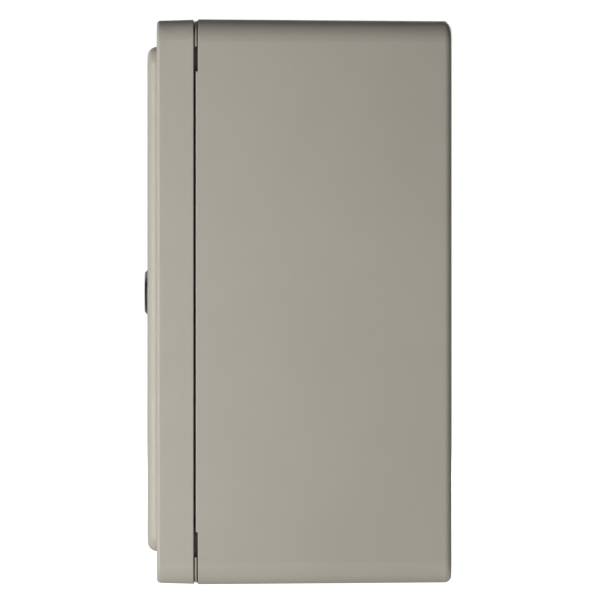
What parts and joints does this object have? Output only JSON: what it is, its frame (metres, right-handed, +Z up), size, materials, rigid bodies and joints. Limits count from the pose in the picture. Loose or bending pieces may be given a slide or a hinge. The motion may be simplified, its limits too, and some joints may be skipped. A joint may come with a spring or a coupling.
{
  "type": "irrigation controller",
  "caption": "Wall-mounted sprinkler timer: deep moulded case with a hinged locking door, behind it a control panel with display, dial and keys above an open wiring bay.",
  "frame": {"origin": "centre of the case's back face, on the wall", "axes": "+Z up; -Y is forward, the way the door faces; +X is to the right of someone facing the door"},
  "size_m": [0.22, 0.1363, 0.2506],
  "materials": {
    "case_plastic": "warm grey moulded plastic, fine even texture",
    "lock_black": "black",
    "plated_steel": "zinc plated",
    "gasket_foam": "closed-cell foam",
    "module_plastic": "dark grey moulded plastic",
    "trim_plastic": "black",
    "dial_plastic": "light grey",
    "key_rubber": "light grey",
    "window_clear": "clear",
    "display_grey": "grey-green",
    "board_green": "solder mask",
    "part_black": "moulded component",
    "backlight_white": "white",
    "can_sleeve": "printed sleeve",
    "lamp_lens": "tinted lens",
    "terminal_green": "green",
    "fuse_glass": "clear tube with metal caps",
    "contact_brass": "tinned",
    "ribbon_grey": "flat cable",
    "mains_plastic": "flame-retardant plastic",
    "core_iron": "varnished laminations",
    "coil_copper": "enamelled copper wire",
    "lead_sleeve": "wire insulation",
    "card_paper": "laminated card",
    "holder_clear": "clear plastic"
  },
  "bodies": {
    "case": {"rear_case": "case_plastic", "conduit_plug": "case_plastic", "hinge_pins": "plated_steel", "strike_plate": "plated_steel", "module_screws": "plated_steel", "board_screws": "plated_steel", "terminal_screws": "plated_steel", "terminal_board_screws": "plated_steel", "mains_cover_screws": "plated_steel", "transformer_bracket": "plated_steel", "transformer_screws": "plated_steel", "module_housing": "module_plastic", "module_back_cover": "module_plastic", "display_frame": "trim_plastic", "display_window": "window_clear", "display_glass": "display_grey", "control_board": "board_green", "terminal_board": "board_green", "processor": "part_black", "key_switches": "part_black", "bypass_switch_body": "part_black", "dial_encoder": "part_black", "battery_holder": "part_black", "triacs": "part_black", "ribbon_plugs": "part_black", "mains_terminal": "part_black", "display_backlight": "backlight_white", "capacitors": "can_sleeve", "status_lamp": "lamp_lens", "terminal_block": "terminal_green", "fuse_link": "fuse_glass", "fuse_clips": "contact_brass", "ribbon_cable": "ribbon_grey", "mains_box": "mains_plastic", "mains_cover": "mains_plastic", "transformer_core": "core_iron", "transformer_coil": "coil_copper", "transformer_leads": "lead_sleeve"},
    "door": {"door_shell": "case_plastic", "door_gasket": "gasket_foam", "lock_bezel": "lock_black", "lock_nut": "plated_steel", "card_holder": "holder_clear", "instruction_card": "card_paper"},
    "lock": {"lock_barrel": "lock_black", "lock_cam": "plated_steel", "lock_screw": "plated_steel"},
    "dial": {"dial_knob": "dial_plastic", "dial_shaft": "plated_steel"},
    "bypass": {"bypass_slider": "trim_plastic"},
    "battery": {"battery_tray": "module_plastic", "coin_cell": "plated_steel"},
    "key_back": {"button_back": "key_rubber"},
    "key_down": {"button_down": "key_rubber"},
    "key_next": {"button_next": "key_rubber"},
    "key_run": {"button_run": "key_rubber"},
    "key_up": {"button_up": "key_rubber"},
    "key_program": {"button_program": "key_rubber"}
  },
  "joints": [
    {"name": "door_hinge", "type": "hinge", "parent": "case", "child": "door", "pos_m": [-0.1066, -0.1073, 0], "axis": [0, 0, -1], "range_deg": [0, 115]},
    {"name": "lock_turn", "type": "hinge", "parent": "door", "child": "lock", "pos_m": [0.08, -0.128, 0.0042], "axis": [0, 1, 0], "range_deg": [0, 90]},
    {"name": "dial_turn", "type": "hinge", "parent": "case", "child": "dial", "pos_m": [0.05, -0.112, 0.068], "axis": [0, 1, 0], "continuous": true},
    {"name": "bypass_slide", "type": "slide", "parent": "case", "child": "bypass", "axis": [1, 0, 0], "range_m": [0, 0.006]},
    {"name": "battery_slide", "type": "slide", "parent": "case", "child": "battery", "axis": [0, 0, -1], "range_m": [0, 0.034]},
    {"name": "back_press", "type": "slide", "parent": "case", "child": "key_back", "axis": [0, 1, 0], "range_m": [0, 0.001], "stiffness_N_per_m": 400},
    {"name": "down_press", "type": "slide", "parent": "case", "child": "key_down", "axis": [0, 1, 0], "range_m": [0, 0.001], "stiffness_N_per_m": 400},
    {"name": "next_press", "type": "slide", "parent": "case", "child": "key_next", "axis": [0, 1, 0], "range_m": [0, 0.001], "stiffness_N_per_m": 400},
    {"name": "run_press", "type": "slide", "parent": "case", "child": "key_run", "axis": [0, 1, 0], "range_m": [0, 0.001], "stiffness_N_per_m": 400},
    {"name": "up_press", "type": "slide", "parent": "case", "child": "key_up", "axis": [0, 1, 0], "range_m": [0, 0.001], "stiffness_N_per_m": 400},
    {"name": "program_press", "type": "slide", "parent": "case", "child": "key_program", "axis": [0, 1, 0], "range_m": [0, 0.001], "stiffness_N_per_m": 400}
  ]
}
